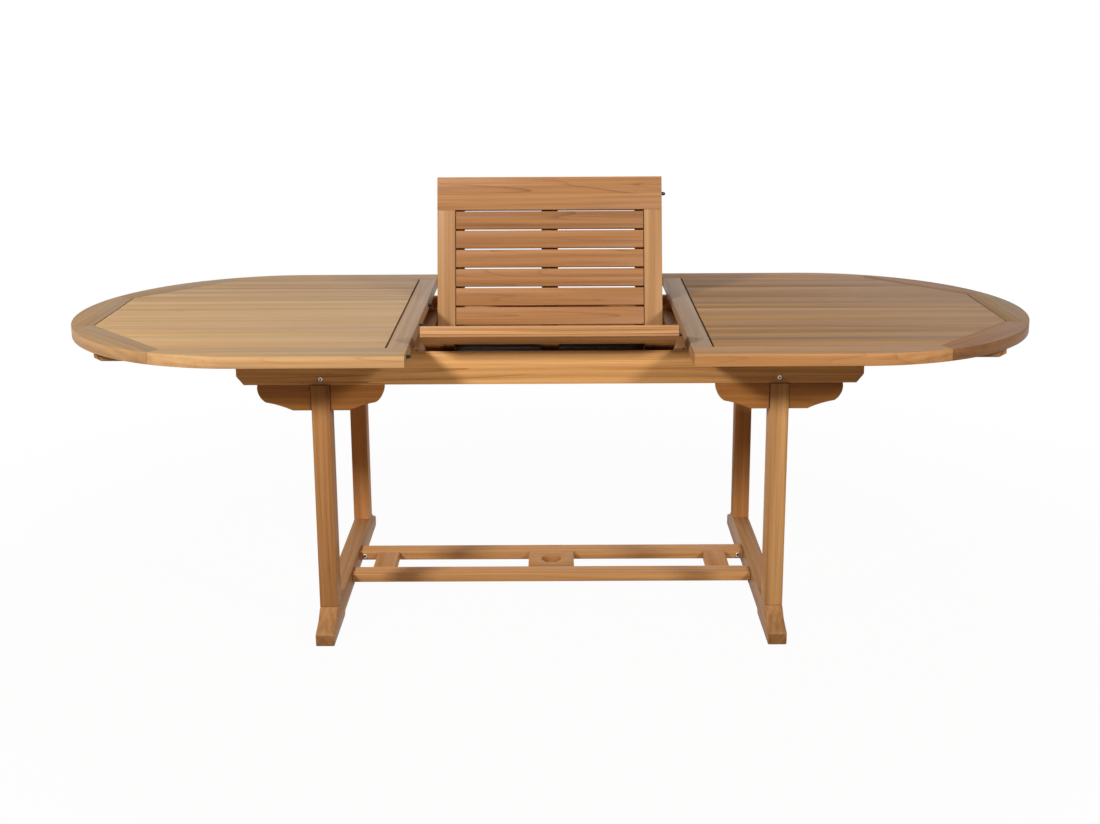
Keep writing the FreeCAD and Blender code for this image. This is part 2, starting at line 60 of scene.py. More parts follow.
# Metres between corners of loose triangles that are one, degrees between faces that are one, and metres
# between points that meet at the pole of a turned surface.
JOINED_WITHIN = 2e-5
FLAT_WITHIN = 0.6
SAME_POINT = 1e-6
# The legs stand equally far left and right of the middle.
LEG_LOW, LEG_HIGH = (float(corner[0]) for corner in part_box("front_right_leg"))
LEG_MIDDLE = (LEG_LOW + LEG_HIGH) / 2.0
LEG_HALF = (LEG_HIGH - LEG_LOW) / 2.0


def linear(red: int, green: int, blue: int) -> Colour:
    """Turns a colour of 0 to 255 per channel, on the usual curve of a screen, into linear light.

    Args:
        red: red channel.
        green: green channel.
        blue: blue channel.

    Returns:
        The three linear channels.
    """
    shown = np.array([red, green, blue]) / 255.0
    low = shown / 12.92
    high = ((shown + 0.055) / 1.055) ** 2.4
    return tuple(float(c) for c in np.where(shown <= 0.04045, low, high))


class Term:
    """One value socket of a node tree; arithmetic on it adds Math nodes."""

    def __init__(self, graph: "Graph", socket: bpy.types.NodeSocket) -> None:
        """Keeps the tree and the socket."""
        self.graph = graph
        self.socket = socket

    def math(self, operation: str, *others: Union["Term", float], swap: bool = False) -> "Term":
        """Adds one Math node.

        Args:
            operation: the node's operation.
            others: the other operands.
            swap: put this term after the first other operand.

        Returns:
            The node's result.
        """
        operands = [self, *others]
        if swap:
            operands[0], operands[1] = operands[1], operands[0]
        made = self.graph.node("ShaderNodeMath", {"operation": operation}, dict(enumerate(operands)))
        return Term(self.graph, made.outputs[0])

    def __add__(self, other: Union["Term", float]) -> "Term":
        """Sum."""
        return self.math("ADD", other)

    __radd__ = __add__

    def __sub__(self, other: Union["Term", float]) -> "Term":
        """Difference."""
        return self.math("SUBTRACT", other)

    def __rsub__(self, other: Union["Term", float]) -> "Term":
        """Difference, the other way round."""
        return self.math("SUBTRACT", other, swap=True)

    def __mul__(self, other: Union["Term", float]) -> "Term":
        """Product."""
        return self.math("MULTIPLY", other)

    __rmul__ = __mul__

    def __truediv__(self, other: Union["Term", float]) -> "Term":
        """Quotient."""
        return self.math("DIVIDE", other)

    def __pow__(self, other: Union["Term", float]) -> "Term":
        """Power."""
        return self.math("POWER", other)

    def clamp(self) -> "Term":
        """The value held between 0 and 1."""
        return self.math("MAXIMUM", 0.0).math("MINIMUM", 1.0)

    def over(self, start: float, end: float) -> "Term":
        """A ramp from 0 at start to 1 at end, held at both."""
        return ((self - start) / (end - start)).clamp()


class Graph:
    """The node tree of a material or a world, with one method for every kind of node."""

    def __init__(self, owner: Union[bpy.types.Material, bpy.types.World]) -> None:
        """Empties the tree of a new material or world."""
        self.owner = owner
        self.owner.use_nodes = True
        self.tree = self.owner.node_tree
        self.tree.nodes.clear()

    def node(
        self,
        kind: str,
        settings: Optional[Dict[str, Any]] = None,
        inputs: Optional[Dict[Union[str, int], Any]] = None,
    ) -> bpy.types.Node:
        """Adds a node, sets its options, then fills or links its sockets.

        Args:
            kind: the node's type.
            settings: attributes to set first; "stops" are a colour ramp's positions and colours.
            inputs: socket name or number with a value, a Term or a socket.

        Returns:
            The new node.
        """
        made = self.tree.nodes.new(kind)
        for name, value in (settings or {}).items():
            if name == "stops":
                self._stops(made.color_ramp, value)
            else:
                setattr(made, name, value)
        for key, value in (inputs or {}).items():
            if isinstance(value, Term):
                value = value.socket
            if isinstance(value, bpy.types.NodeSocket):
                self.tree.links.new(value, made.inputs[key])
            else:
                made.inputs[key].default_value = value
        return made

    @staticmethod
    def _stops(ramp: bpy.types.ColorRamp, stops: Sequence[Tuple[float, Colour]]) -> None:
        """Gives a ramp its stops, in order of position."""
        while len(ramp.elements) < len(stops):
            ramp.elements.new(1.0)
        for element, (position, colour) in zip(ramp.elements, stops):
            element.position = position
            element.color = (*colour, 1.0)

    def noise(self, vector: Any, scale: float, detail: float = 2.0, rough: float = 0.5) -> Term:
        """Noise between 0 and 1 on a vector.

        Args:
            vector: the coordinates' socket.
            scale: cells per metre after the vector's own stretch.
            detail: octaves.
            rough: weight of the higher octaves.

        Returns:
            The noise value.
        """
        inputs = {"Vector": vector, "Scale": scale, "Detail": detail, "Roughness": rough}
        return Term(self, self.node("ShaderNodeTexNoise", None, inputs).outputs["Fac"])

    def stretched(self, vector: Any, along: float, across: float) -> bpy.types.NodeSocket:
        """A vector scaled by one factor along the grain and another across it."""
        inputs = {0: vector, 1: (along, across, across)}
        return self.node("ShaderNodeVectorMath", {"operation": "MULTIPLY"}, inputs).outputs[0]

    def tinted(self, colour: bpy.types.NodeSocket, tint: Colour, share: Term) -> bpy.types.NodeSocket:
        """A colour multiplied by a tint, as far as the share says."""
        settings = {"data_type": "RGBA", "blend_type": "MULTIPLY"}
        inputs = {0: share, 6: colour, 7: (*tint, 1.0)}
        return self.node("ShaderNodeMix", settings, inputs).outputs[2]

    def surface(self, **inputs: Any) -> bpy.types.Material:
        """Ends the tree in a Principled shader with these sockets.

        Args:
            inputs: socket names with underscores for blanks.

        Returns:
            The finished material.
        """
        named = {key.replace("_", " "): value for key, value in inputs.items()}
        shader = self.node("ShaderNodeBsdfPrincipled", None, named)
        self.node("ShaderNodeOutputMaterial", None, {"Surface": shader.outputs[0]})
        return self.owner

    def background_seen(self) -> Term:
        """1 for rays of the camera, of a reflection and through glass, 0 for light."""
        path = self.node("ShaderNodeLightPath")
        rays = ("Is Camera Ray", "Is Glossy Ray", "Is Transmission Ray")
        camera, glossy, through = (Term(self, path.outputs[ray]) for ray in rays)
        return (camera + glossy + through).clamp()


class Grain(Enum):
    """How a piece's grain lies; degrees that turn that direction onto the pattern's first axis."""

    LENGTH = (0.0, 0.0, 0.0)
    WIDTH = (0.0, 0.0, -90.0)
    UPRIGHT = (0.0, 90.0, 0.0)
    RISING = (0.0, 0.0, -45.8)
    FALLING = (0.0, 0.0, 45.8)
    FRONT_WING = (24.4, 0.0, -90.0)
    REAR_WING = (-75.0, 0.0, -90.0)


class Pattern(Enum):
    """A stretched noise: cells per metre along and across the grain, octaves, weight of the finer ones."""

    WANDER = (0.9, 3.0, 2.0, 0.5)
    BANDS = (0.5, 24.0, 3.0, 0.5)
    STREAKS = (0.9, 95.0, 4.0, 0.62)
    FINE = (5.0, 480.0, 3.0, 0.6)
    PORES = (38.0, 1300.0, 1.0, 0.5)
    VEINS = (0.32, 13.0, 1.5, 0.4)
    VEINS_KEPT = (1.6, 26.0, 1.0, 0.5)
    TURNING_MARKS = (2600.0, 300.0, 2.0, 0.5)

    def on(self, graph: Graph, vector: Any) -> Term:
        """The noise's value on a vector."""
        along, across, octaves, rough = self.value
        return graph.noise(graph.stretched(vector, along, across), 1.0, octaves, rough)


@dataclass(frozen=True)
class Teak:
    """A planed teak surface.

    The first fields differ between the table's woods: the tones of the light, middle and dark wood, the
    strength of rings, streaks, bands, veins and of the change from board to board, the gloss, the width of a
    dark line of painted shade beside a leg and how far faces that look up take a painted shade and sheen.
    The rest is common to all: how boards are shifted, where the pith lies, tints, weights and relief.
    Lengths are in metres.
    """

    name: str
    light: Colour
    middle: Colour
    dark: Colour
    figure: float = 0.14
    streaks: float = 0.5
    bands: float = 0.5
    veins: float = 0.3
    boards: float = 0.1
    roughness: float = 0.5
    sheen: float = 0.35
    joint_shade_line: float = 0.0
    top_shade_and_sheen: float = 0.0
    board_shift: Vector = (4.0, 0.9, 0.9)
    ring_pitch: float = 0.016
    ring_sharpness: float = 1.6
    pith_across: float = 0.19
    pith_deep: float = 0.13
    pith_below: float = 0.04
    pith_wander: float = 0.06
    vein_lines: float = 27.0
    vein_sharpness: float = 12.0
    vein_kept: Range = (0.4, 0.6)
    pore_range: Range = (0.62, 0.78)
    streak_weight: float = 1.3
    fine_weight: float = 0.4
    pore_weight: float = 0.1
    end_range: Range = (0.75, 0.98)
    end_tint: Colour = (0.62, 0.56, 0.5)
    end_share: float = 0.75
    joint_shade_tint: Colour = (0.3, 0.26, 0.24)
    joint_core: float = 0.6
    upward_range: Range = (0.5, 0.9)
    top_shade_sheen_tint: Colour = (0.78, 0.83, 0.83)
    fine_relief: float = 0.5
    streak_relief: float = 0.3
    pore_relief: float = 0.6
    relief_strength: float = 0.22
    relief_depth: float = 0.0006
    streak_roughness: float = 0.25
    pore_roughness: float = 0.15
    end_roughness: float = 0.2
    refraction: float = 1.45

    def material(self, grain: Grain) -> bpy.types.Material:
        """Builds the wood, with a place in the pattern and a tone for each board.

        Args:
            grain: the direction of the grain.

        Returns:
            The finished material.
        """
        graph = Graph(bpy.data.materials.new(f"{self.name}_{grain.name.lower()}"))
        coordinates = graph.node("ShaderNodeTexCoord")
        turn = {"Rotation": tuple(math.radians(a) for a in grain.value)}
        turned = graph.node("ShaderNodeMapping", None, {**turn, "Vector": coordinates.outputs["Object"]})
        board = Term(graph, graph.node("ShaderNodeAttribute", {"attribute_name": "board"}).outputs["Fac"])
        whole = {"W": board.math("FLOOR")}
        chance = graph.node("ShaderNodeTexWhiteNoise", {"noise_dimensions": "1D"}, whole)
        moved = graph.node(
            "ShaderNodeVectorMath",
            {"operation": "MULTIPLY_ADD"},
            {0: chance.outputs["Color"], 1: self.board_shift, 2: turned.outputs[0]},
        )
        wood = moved.outputs[0]
        tone = Term(graph, chance.outputs["Value"])
        return self._paint(graph, wood, tone, coordinates, turned)

    def _paint(
        self,
        graph: Graph,
        wood: bpy.types.NodeSocket,
        tone: Term,
        coordinates: bpy.types.Node,
        turned: bpy.types.Node,
    ) -> bpy.types.Material:
        """Colours the wood: growth rings round a far pith, streaks, bands, veins, pores and end grain.

        Args:
            graph: the tree.
            wood: coordinates with the grain on the first axis, shifted for each board.
            tone: a chance value for each board.
            coordinates: the Texture Coordinate node.
            turned: the Mapping node, whose turn the normal follows too.

        Returns:
            The finished material.
        """
        rings = self._rings(graph, wood)
        broad = Pattern.BANDS.on(graph, wood)
        veins = self._veins(graph, wood)
        streak = Pattern.STREAKS.on(graph, wood)
        fine = Pattern.FINE.on(graph, wood)
        pores = Pattern.PORES.on(graph, wood).over(*self.pore_range)
        mix = (
            0.5
            + (rings - 0.5) * self.figure
            + (streak - 0.5) * (self.streak_weight * self.streaks)
            + (broad - 0.5) * self.bands
            + (fine - 0.5) * self.fine_weight
            + (tone - 0.5) * self.boards
            - veins * self.veins
            - pores * self.pore_weight
        )
        stops = [(0.0, self.dark), (0.5, self.middle), (1.0, self.light)]
        ramp = graph.node("ShaderNodeValToRGB", {"stops": stops}, {"Fac": mix.clamp()})
        end = self._end_grain(graph, coordinates, turned)
        colour = graph.tinted(ramp.outputs[0], self.end_tint, end * self.end_share)
        # A dark line beside the let-in legs: painted shade in the gap of the joint.
        if self.joint_shade_line > 0.0:
            colour = graph.tinted(colour, self.joint_shade_tint, self._joint(graph, coordinates))
        # Faces that look up are darkened and greyed: painted shade and sheen on the tops.
        if self.top_shade_and_sheen > 0.0:
            upward = self._upward(graph, coordinates)
            colour = graph.tinted(colour, self.top_shade_sheen_tint, upward * self.top_shade_and_sheen)
        height = fine * self.fine_relief + streak * self.streak_relief - pores * self.pore_relief
        relief = {"Strength": self.relief_strength, "Distance": self.relief_depth, "Height": height}
        bump = graph.node("ShaderNodeBump", None, relief)
        rough = (
            self.roughness
            + (streak - 0.5) * self.streak_roughness
            + pores * self.pore_roughness
            + end * self.end_roughness
        )
        return graph.surface(
            Base_Color=colour,
            Roughness=rough.clamp(),
            Normal=bump.outputs[0],
            IOR=self.refraction,
            Specular_IOR_Level=self.sheen,
        )

    def _rings(self, graph: Graph, wood: bpy.types.NodeSocket) -> Term:
        """Growth rings: a sharpened sine of the distance from a pith line that wanders along the board."""
        parts = graph.node("ShaderNodeSeparateXYZ", None, {0: wood})
        across = Term(graph, parts.outputs[1]).math("PINGPONG", self.pith_across)
        depth = Term(graph, parts.outputs[2]).math("PINGPONG", self.pith_deep) + self.pith_below
        wander = Pattern.WANDER.on(graph, wood) * self.pith_wander
        distance = (across * across + depth * depth).math("SQRT") + wander
        wave = (distance * (2.0 * math.pi / self.ring_pitch)).math("SINE")
        return (wave * 0.5 + 0.5) ** self.ring_sharpness

    def _joint(self, graph: Graph, coordinates: bpy.types.Node) -> Term:
        """1 on a line of painted shade beside the legs that are let in, which stand equally far left and
        right, else 0.
        """
        parts = graph.node("ShaderNodeSeparateXYZ", None, {0: coordinates.outputs["Object"]})
        off = (Term(graph, parts.outputs[0]).math("ABSOLUTE") - LEG_MIDDLE).math("ABSOLUTE") - LEG_HALF
        return off.over(self.joint_shade_line, self.joint_shade_line * self.joint_core)

    def _upward(self, graph: Graph, coordinates: bpy.types.Node) -> Term:
        """1 on faces that look up, 0 on upright ones; these faces take the painted shade and sheen of the
        tops.
        """
        parts = graph.node("ShaderNodeSeparateXYZ", None, {0: coordinates.outputs["Normal"]})
        return Term(graph, parts.outputs[2]).over(*self.upward_range)

    def _veins(self, graph: Graph, wood: bpy.types.NodeSocket) -> Term:
        """Thin dark late-wood lines: level lines of a long noise, kept where a second noise is high."""
        saw = (Pattern.VEINS.on(graph, wood) * self.vein_lines).math("FRACT")
        kept = Pattern.VEINS_KEPT.on(graph, wood).over(*self.vein_kept)
        return saw ** self.vein_sharpness * kept

    def _end_grain(self, graph: Graph, coordinates: bpy.types.Node, turned: bpy.types.Node) -> Term:
        """1 where a face looks along the grain, 0 on the sides."""
        turn = tuple(turned.inputs["Rotation"].default_value)
        inputs = {"Vector": coordinates.outputs["Normal"], "Rotation": turn}
        facing = graph.node("ShaderNodeMapping", {"vector_type": "VECTOR"}, inputs)
        parts = graph.node("ShaderNodeSeparateXYZ", None, {0: facing.outputs[0]})
        return Term(graph, parts.outputs[0]).math("ABSOLUTE").over(*self.end_range)


@dataclass(frozen=True)
class Metal:
    """A metal finish with fine turning marks and uneven tarnish."""

    name: str
    bright: Colour
    dull: Colour
    roughness: float
    tarnish_scale: float = 180.0
    tarnish_octaves: float = 4.0
    tarnish_rough: float = 0.6
    tarnish_range: Range = (0.3, 0.72)
    tarnish_gloss: float = 0.3
    mark_strength: float = 0.1
    mark_depth: float = 0.0002

    def material(self) -> bpy.types.Material:
        """Builds the metal.

        Returns:
            The finished material.
        """
        graph = Graph(bpy.data.materials.new(self.name))
        place = graph.node("ShaderNodeTexCoord").outputs["Object"]
        patches = graph.noise(place, self.tarnish_scale, self.tarnish_octaves, self.tarnish_rough)
        marks = Pattern.TURNING_MARKS.on(graph, place)
        stops = list(zip(self.tarnish_range, (self.dull, self.bright)))
        ramp = graph.node("ShaderNodeValToRGB", {"stops": stops}, {"Fac": patches})
        relief = {"Strength": self.mark_strength, "Distance": self.mark_depth, "Height": marks}
        bump = graph.node("ShaderNodeBump", None, relief)
        return graph.surface(
            Base_Color=ramp.outputs[0],
            Metallic=1.0,
            Roughness=(self.roughness + (0.5 - patches) * self.tarnish_gloss).clamp(),
            Normal=bump.outputs[0],
        )


class Finish(Enum):
    """The table's finishes; one that has a slot's name is the usual finish of that slot."""

    FIELD = Teak("teak_field", linear(209, 169, 115), linear(185, 144, 93), linear(145, 104, 59),
                 streaks=0.8, bands=1.3, veins=0.4, boards=0.35)
    # FIELD_DARK and the other _DARK finishes dress the right half: partly a darker wood, partly painted
    # shade where less light falls on that half.
    FIELD_DARK = Teak("teak_field_dark", linear(177, 133, 72), linear(151, 107, 53), linear(115, 75, 33),
                      streaks=0.8, bands=1.5, veins=0.4, boards=0.4)
    # Rims with a share for faces that look up take a painted shade and sheen on their tops.
    RIM = Teak("teak_rim", linear(218, 174, 124), linear(193, 148, 98), linear(147, 103, 62), bands=0.7,
               top_shade_and_sheen=1.0)
    CORNER_RIM = Teak("teak_corner_rim", linear(199, 155, 108), linear(173, 131, 86), linear(133, 93, 55),
                      bands=0.7, top_shade_and_sheen=1.0)
    # The end rims' greyer tones are a painted sheen: the reflection of the bright background.
    END_RIM = Teak("teak_end_rim", linear(176, 139, 92), linear(152, 114, 70), linear(118, 81, 46))
    RIM_DARK = Teak("teak_rim_dark", linear(211, 157, 103), linear(186, 132, 79), linear(141, 91, 49),
                    bands=0.7, top_shade_and_sheen=1.0)
    CORNER_DARK = Teak("teak_corner_dark", linear(158, 111, 66), linear(138, 93, 50), linear(105, 65, 31),
                       bands=0.7)
    # END_DARK, CROSS and CROSS_DARK are greyer too: a painted sheen, the reflection of the bright
    # background.
    END_DARK = Teak("teak_end_dark", linear(154, 121, 72), linear(133, 99, 54), linear(102, 69, 35))
    CROSS = Teak("teak_cross_rail", linear(190, 158, 126), linear(166, 134, 102), linear(130, 98, 70))
    CROSS_DARK = Teak("teak_cross_dark", linear(172, 142, 114), linear(148, 118, 90), linear(116, 86, 62))
    LEAF = Teak("teak_leaf", linear(188, 135, 87), linear(162, 110, 64), linear(114, 72, 36),
                streaks=0.8, veins=0.45, boards=0.25)
    LEAF_RAIL = Teak("teak_leaf_rail", linear(200, 148, 97), linear(174, 122, 74), linear(126, 80, 43),
                     streaks=0.8, veins=0.45)
    LEAF_STILE = Teak("teak_leaf_stile", linear(203, 157, 108), linear(179, 132, 85), linear(135, 92, 54))
    LEAF_FRONT = Teak("teak_leaf_front", linear(213, 161, 109), linear(188, 136, 84), linear(132, 85, 45),
                      streaks=0.9, veins=0.8)
    BASE = Teak("teak_base", linear(204, 152, 98), linear(178, 125, 75), linear(134, 86, 46), sheen=0.2)
    APRON = Teak("teak_apron", linear(230, 177, 115), linear(209, 155, 95), linear(157, 102, 55),
                 figure=0.2, bands=0.4, veins=0.75, sheen=0.2)
    STRETCHER = Teak("teak_stretcher", linear(218, 166, 110), linear(194, 141, 88), linear(146, 96, 54),
                     sheen=0.2)
    FOOT = Teak("teak_foot", linear(189, 143, 96), linear(164, 118, 74), linear(122, 80, 45), sheen=0.2)
    LEG = Teak("teak_leg", linear(186, 137, 88), linear(162, 113, 68), linear(118, 75, 41), streaks=0.8,
               sheen=0.06)
    LEG_PALE = Teak("teak_leg_pale", linear(216, 168, 114), linear(190, 141, 90), linear(141, 95, 58),
                    streaks=0.8, sheen=0.06)
    REAR_LEG = Teak("teak_rear_leg", linear(218, 158, 100), linear(192, 132, 78), linear(146, 92, 50),
                    sheen=0.06)
    # The corbels' darker, warmer tones paint part of the shade that falls under the top.
    CORBEL = Teak("teak_corbel", linear(198, 137, 76), linear(172, 113, 56), linear(128, 77, 33), sheen=0.2,
                  # The line beside the legs is painted shade in the gap of the joint.
                  joint_shade_line=0.0026)
    INNER = Teak("teak_inner", linear(196, 146, 94), linear(168, 118, 72), linear(126, 82, 46))
    PIN = Metal("pin_steel", linear(74, 71, 68), linear(26, 25, 24), 0.3)
    BOLT = Metal("bolt_steel", linear(232, 228, 220), linear(168, 162, 152), 0.42)
    BRASS = Metal("hinge_brass", linear(206, 172, 104), linear(132, 100, 54), 0.36)


SLOT_FINISH = {finish.value.name: finish for finish in Finish}


class Palette:
    """Makes each finish once for each direction of grain."""

    def __init__(self) -> None:
        """Starts with nothing made."""
        self.made: Dict[Tuple[Finish, Optional[Grain]], bpy.types.Material] = {}

    def get(self, finish: Finish, grain: Grain) -> bpy.types.Material:
        """The material of a finish.

        Args:
            finish: which finish.
            grain: the grain's direction; a metal has none.

        Returns:
            The material.
        """
        wood = isinstance(finish.value, Teak)
        key = (finish, grain if wood else None)
        if key not in self.made:
            self.made[key] = finish.value.material(grain) if wood else finish.value.material()
        return self.made[key]


def welded(source: bpy.types.Mesh, name: str) -> bpy.types.Mesh:
    """A copy of a mesh with its loose triangles joined and its flat faces made whole.

    Args:
        source: the frame's mesh.
        name: the copy's name.

    Returns:
        The copy.
    """
    work = bmesh.new()
    work.from_mesh(source)
    bmesh.ops.remove_doubles(work, verts=work.verts, dist=JOINED_WITHIN)
    flat = math.radians(FLAT_WITHIN)
    bmesh.ops.dissolve_limit(work, angle_limit=flat, verts=work.verts, edges=work.edges)
    mesh = bpy.data.meshes.new(name)
    work.to_mesh(mesh)
    work.free()
    mesh.polygons.foreach_set("use_smooth", np.ones(len(mesh.polygons), dtype=bool))
    return mesh


def solids(mesh: bpy.types.Mesh) -> np.ndarray:
    """Numbers the separate solids of a mesh: each vertex takes the lowest label that it is joined to.

    Args:
        mesh: a welded mesh.

    Returns:
        For each vertex, its solid's number from 0.
    """
    edges = np.empty(len(mesh.edges) * 2, dtype=np.int32)
    mesh.edges.foreach_get("vertices", edges)
    first, second = edges.reshape(-1, 2).T
    labels = np.arange(len(mesh.vertices))
    while True:
        lowest = np.minimum(labels[first], labels[second])
        joined = labels.copy()
        np.minimum.at(joined, first, lowest)
        np.minimum.at(joined, second, lowest)
        if np.array_equal(joined, labels):
            break
        labels = joined
    return np.unique(labels, return_inverse=True)[1]


@dataclass
class Timber:
    """Planed pieces: each stands for one solid of the frame, with its arrises eased."""

    palette: Palette
    bodies: Dict[str, str]
    slots: Dict[str, str]
    eased: float = 0.0016
    segments: int = 2
    sharp: float = 32.0
    above_whole: float = 0.37
    count: int = 0

    def piece(
        self,
        node: str,
        grain: Grain,
        eased: Optional[float] = None,
        finish: Optional[Finish] = None,
    ) -> bpy.types.Object:
        """Copies a node's solid, welds it, eases its edges and gives it wood.

        Args:
            node: the node's name.
            grain: the grain's direction.
            eased: width of the eased edge in metres, if not the usual one.
            finish: the wood, if not the one named as the node's slot.

        Returns:
            The new object.
        """
        mesh = welded(frame["nodes"][node].data, f"{node}_planed")
        self._number_boards(mesh)
        made = bpy.data.objects.new(f"{node}_planed", mesh)
        bpy.context.scene.collection.objects.link(made)
        mesh.materials.clear()
        mesh.materials.append(self.palette.get(finish or SLOT_FINISH[self.slots[node]], grain))
        width = self.eased if eased is None else eased
        if width > 0.0:
            self._ease(made, width)
        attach(made, self.bodies[node])
        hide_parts(node)
        LOG.info("%s: %d faces before easing", made.name, len(mesh.polygons))
        return made

    def _number_boards(self, mesh: bpy.types.Mesh) -> None:
        """Gives every separate board of a mesh a number, kept off whole ones so that FLOOR is safe."""
        numbers = solids(mesh)
        values = numbers + self.count + self.above_whole
        attribute = mesh.attributes.new("board", "FLOAT", "POINT")
        attribute.data.foreach_set("value", values.astype(np.float32))
        self.count += int(numbers.max()) + 1

    def _ease(self, piece: bpy.types.Object, width: float) -> None:
        """Rounds the sharp edges by that width."""
        ease = piece.modifiers.new("eased", "BEVEL")
        ease.width = width
        ease.segments = self.segments
        ease.limit_method = "ANGLE"
        ease.angle_limit = math.radians(self.sharp)
        ease.harden_normals = True


@dataclass
class TopHalf:
    """One sliding half of the oval top."""

    side: str
    timber: Timber
    boards: Finish
    cross: Finish
    side_rim: Finish
    corner_rim: Finish
    end_rim: Finish
    arris: float = 0.001
    board_arris: float = 0.0008
    end_joint: float = 0.002
    end_found: float = 1e-4

    def build(self) -> None:
        """Planes the rims, boards, cross rail, runners and cleats of this half."""
        rising, falling = Grain.RISING, Grain.FALLING
        front, rear = (falling, rising) if self.side == "left" else (rising, falling)
        for end in ("front", "rear"):
            self.timber.piece(f"{self.side}_{end}_side_rim", Grain.LENGTH, self.arris, self.side_rim)
            self.timber.piece(f"{self.side}_{end}_runner", Grain.LENGTH)
        self.timber.piece(f"{self.side}_front_corner_rim", front, self.arris, self.corner_rim)
        self.timber.piece(f"{self.side}_rear_corner_rim", rear, self.arris, self.corner_rim)
        self.timber.piece(f"{self.side}_end_rim", Grain.WIDTH, self.arris, self.end_rim)
        field_boards = f"{self.side}_field_boards"
        boards = self.timber.piece(field_boards, Grain.LENGTH, self.board_arris, self.boards)
        self._draw_back(boards.data)
        self.timber.piece(f"{self.side}_cross_rail", Grain.WIDTH, finish=self.cross)
        self.timber.piece(f"{self.side}_cleats", Grain.WIDTH)

    def _draw_back(self, mesh: bpy.types.Mesh) -> None:
        """Draws the boards' outer ends back from the end rim, which leaves an open joint."""
        points = np.empty(len(mesh.vertices) * 3)
        mesh.vertices.foreach_get("co", points)
        points = points.reshape(-1, 3)
        reach = np.abs(points[:, 0])
        ends = reach > reach.max() - self.end_found
        points[ends, 0] -= np.sign(points[ends, 0]) * self.end_joint
        mesh.vertices.foreach_set("co", points.ravel())
        mesh.update()


@dataclass
class Base:
    """The two trestles, the aprons and the stretchers."""

    timber: Timber
    arris: float = 0.003
    leg_arris: float = 0.0014

    def build(self) -> None:
        """Planes every piece of the fixed frame."""
        for side, front_leg in (("left", Finish.LEG), ("right", Finish.LEG_PALE)):
            self.timber.piece(f"{side}_foot", Grain.WIDTH, self.arris, Finish.FOOT)
            for name in ("top_beam", "well_rail", "spacer"):
                self.timber.piece(f"{side}_{name}", Grain.WIDTH, self.arris)
            self.timber.piece(f"front_{side}_leg", Grain.UPRIGHT, self.leg_arris, front_leg)
            self.timber.piece(f"rear_{side}_leg", Grain.UPRIGHT, self.leg_arris, Finish.REAR_LEG)
            for end in ("front", "rear"):
                self.timber.piece(f"{end}_{side}_corbel", Grain.LENGTH, finish=Finish.CORBEL)
        for end in ("front", "rear"):
            self.timber.piece(f"{end}_apron", Grain.LENGTH, finish=Finish.APRON)
            self.timber.piece(f"{end}_ledger", Grain.LENGTH)
            self.timber.piece(f"{end}_stretcher", Grain.LENGTH, self.arris, Finish.STRETCHER)
        self.timber.piece("parasol_block", Grain.LENGTH)
        self.timber.piece("front_glides", Grain.LENGTH, eased=0.0, finish=Finish.APRON)


@dataclass
class Wing:
    """One slatted wing of the folding leaf."""

    end: str
    timber: Timber

    def build(self) -> None:
        """Planes the rail, stiles, slats and battens of this wing."""
        slope = Grain.FRONT_WING if self.end == "front" else Grain.REAR_WING
        rail = Finish.LEAF_FRONT if self.end == "front" else Finish.LEAF_RAIL
        self.timber.piece(f"{self.end}_wing_rail", Grain.LENGTH, finish=rail)
        self.timber.piece(f"{self.end}_wing_slats", Grain.LENGTH)
        self.timber.piece(f"{self.end}_wing_stiles", slope, finish=Finish.LEAF_STILE)
        self.timber.piece(f"{self.end}_wing_battens", slope)


class Facing(Enum):
    """Which way the outer end of a turned fitting looks along its axis."""

    FORWARD = "forward"
    OUTWARDS = "outwards"
    INWARDS = "inwards"


